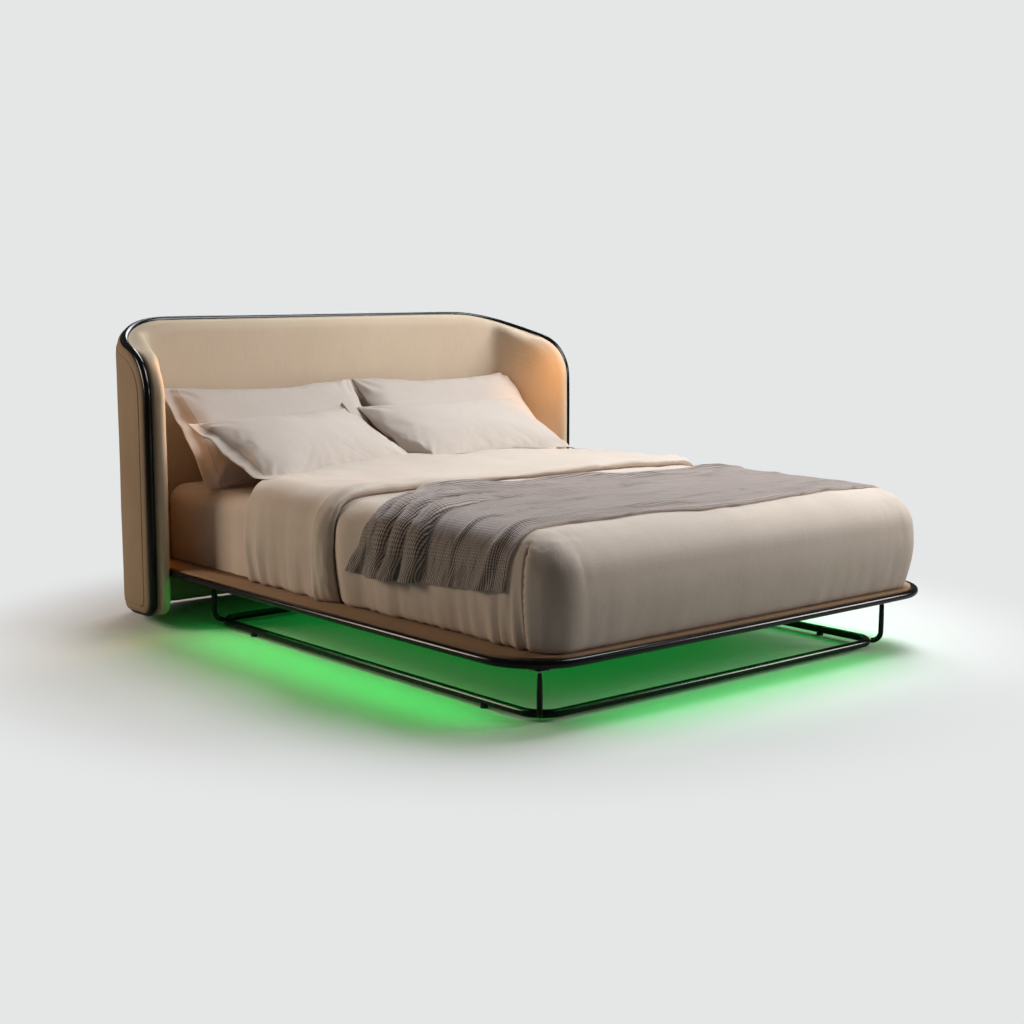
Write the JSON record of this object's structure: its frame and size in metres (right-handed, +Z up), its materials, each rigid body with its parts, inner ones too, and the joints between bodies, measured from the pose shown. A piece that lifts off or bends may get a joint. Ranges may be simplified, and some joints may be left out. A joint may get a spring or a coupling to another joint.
{
  "type": "double bed",
  "caption": "Double bed with a wrap-around upholstered headboard, tubular steel base lit from below, and made-up bedding.",
  "frame": {"origin": "centre of the bed's footprint, on the floor", "axes": "+Z up, +Y from the foot towards the headboard, +X towards the right side as seen from the foot"},
  "size_m": [1.954, 2.3238, 1.0539],
  "materials": {
    "black_steel": "gloss black powder coat",
    "frame_steel": "matt black powder coat",
    "camel_velvet": "short-pile velvet",
    "rim_velvet": "short-pile velvet",
    "beech": "sanded beech ply",
    "plywood": "bent plywood",
    "rubber": "matt",
    "aluminium": "extruded, satin",
    "green_diffuser": "opal diffuser, lit green",
    "driver_plastic": "moulded",
    "mattress_ticking": "knitted ticking",
    "taupe_cotton": "percale cotton",
    "duvet_cotton": "washed cotton",
    "throw_knit": "waffle knit",
    "pillow_cotton": "washed cotton"
  },
  "bodies": {
    "root": {"arm_foot_left": "frame_steel", "arm_foot_right": "frame_steel", "arm_left_1": "frame_steel", "arm_left_2": "frame_steel", "arm_right_1": "frame_steel", "arm_right_2": "frame_steel", "centre_beam": "frame_steel", "duvet": "duvet_cotton", "fitted_sheet": "taupe_cotton", "flange_foot_left": "frame_steel", "flange_foot_right": "frame_steel", "flange_head_left": "frame_steel", "flange_head_right": "frame_steel", "floor_ring": "black_steel", "foot_rail": "frame_steel", "glide_foot_left": "rubber", "glide_foot_right": "rubber", "glide_head_left": "rubber", "glide_head_right": "rubber", "glide_headboard_left": "rubber", "glide_headboard_right": "rubber", "head_rail": "frame_steel", "headboard_bracket_left": "frame_steel", "headboard_bracket_right": "frame_steel", "headboard_core": "plywood", "headboard_inner_pad": "camel_velvet", "headboard_outer_shell": "camel_velvet", "headboard_tube": "black_steel", "led_channel_foot": "aluminium", "led_channel_left": "aluminium", "led_channel_right": "aluminium", "led_diffuser_foot": "green_diffuser", "led_diffuser_left": "green_diffuser", "led_diffuser_right": "green_diffuser", "led_driver": "driver_plastic", "mattress": "mattress_ticking", "pillow_front_left": "pillow_cotton", "pillow_front_right": "pillow_cotton", "pillow_rear_left": "pillow_cotton", "pillow_rear_right": "pillow_cotton", "platform_tube": "black_steel", "rim": "rim_velvet", "side_rail_left": "frame_steel", "side_rail_right": "frame_steel", "slat_01": "beech", "slat_02": "beech", "slat_03": "beech", "slat_04": "beech", "slat_05": "beech", "slat_06": "beech", "slat_07": "beech", "slat_08": "beech", "slat_09": "beech", "slat_10": "beech", "throw": "throw_knit", "upright_foot_left": "black_steel", "upright_foot_right": "black_steel", "upright_head_left": "black_steel", "upright_head_right": "black_steel"}
  },
  "joints": []
}
